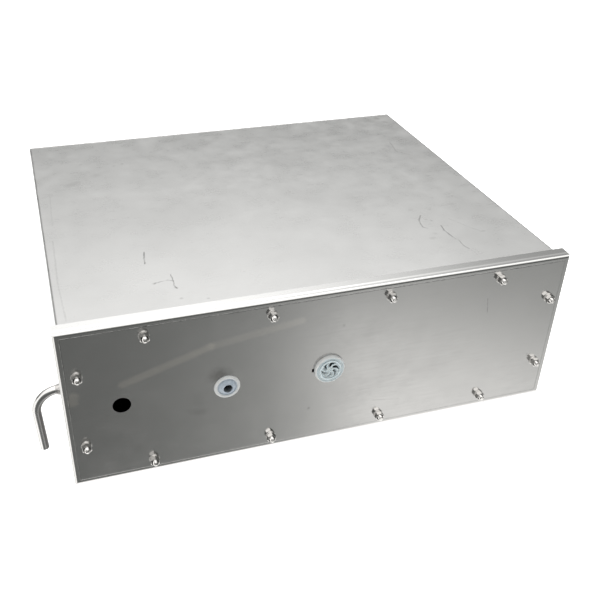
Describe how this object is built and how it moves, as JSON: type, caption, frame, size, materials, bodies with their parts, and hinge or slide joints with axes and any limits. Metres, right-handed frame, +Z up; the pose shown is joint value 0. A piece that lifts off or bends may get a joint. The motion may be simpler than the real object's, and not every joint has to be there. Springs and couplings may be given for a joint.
{
  "type": "hydraulic reservoir",
  "caption": "Flat rectangular stainless-steel hydraulic reservoir with a bolted pan-type front cover, a vent, a tube grommet, a port hole and a bent side overflow pipe.",
  "frame": {"origin": "centre of the bounding box, on the surface the tank stands on", "axes": "+X along the cover towards its right-hand end, seen from in front; +Y from the cover to the rear panel; +Z up"},
  "size_m": [0.6365, 0.527, 0.2085],
  "materials": {
    "tank_sheet": "mill finish, matt, handled",
    "cover_sheet": "smooth cold-rolled, half mirror",
    "frame_steel": "plain mill finish",
    "fastener_steel": "bright turned stainless steel",
    "pipe_steel": "drawn tube, satin",
    "weld_metal": "as welded, brushed",
    "gasket_rubber": "flat, matt",
    "silicone": "translucent, soft, faintly blue",
    "vent_plastic": "translucent moulded polyethylene"
  },
  "bodies": {
    "tank": {"tank_wrapper": "tank_sheet", "tank_floor": "tank_sheet", "rear_panel": "tank_sheet", "frame_top": "frame_steel", "frame_bottom": "frame_steel", "frame_left": "frame_steel", "frame_right": "frame_steel", "cover_studs": "fastener_steel", "cover_gasket": "gasket_rubber", "overflow_pipe": "pipe_steel", "pipe_weld_ring": "weld_metal", "baffle_plate": "frame_steel", "skid_left": "frame_steel", "skid_right": "frame_steel"},
    "cover": {"front_cover": "cover_sheet", "stud_washers": "fastener_steel", "spring_washers": "fastener_steel", "stud_nuts": "fastener_steel", "tube_grommet": "silicone", "vent_grommet": "silicone"},
    "vent": {"vent_insert": "vent_plastic"}
  },
  "joints": [
    {"name": "cover_off", "type": "slide", "parent": "tank", "child": "cover", "axis": [0, -1, 0], "range_m": [0, 0.15]},
    {"name": "vent_out", "type": "slide", "parent": "cover", "child": "vent", "axis": [0, -1, 0], "range_m": [0, 0.03]}
  ]
}
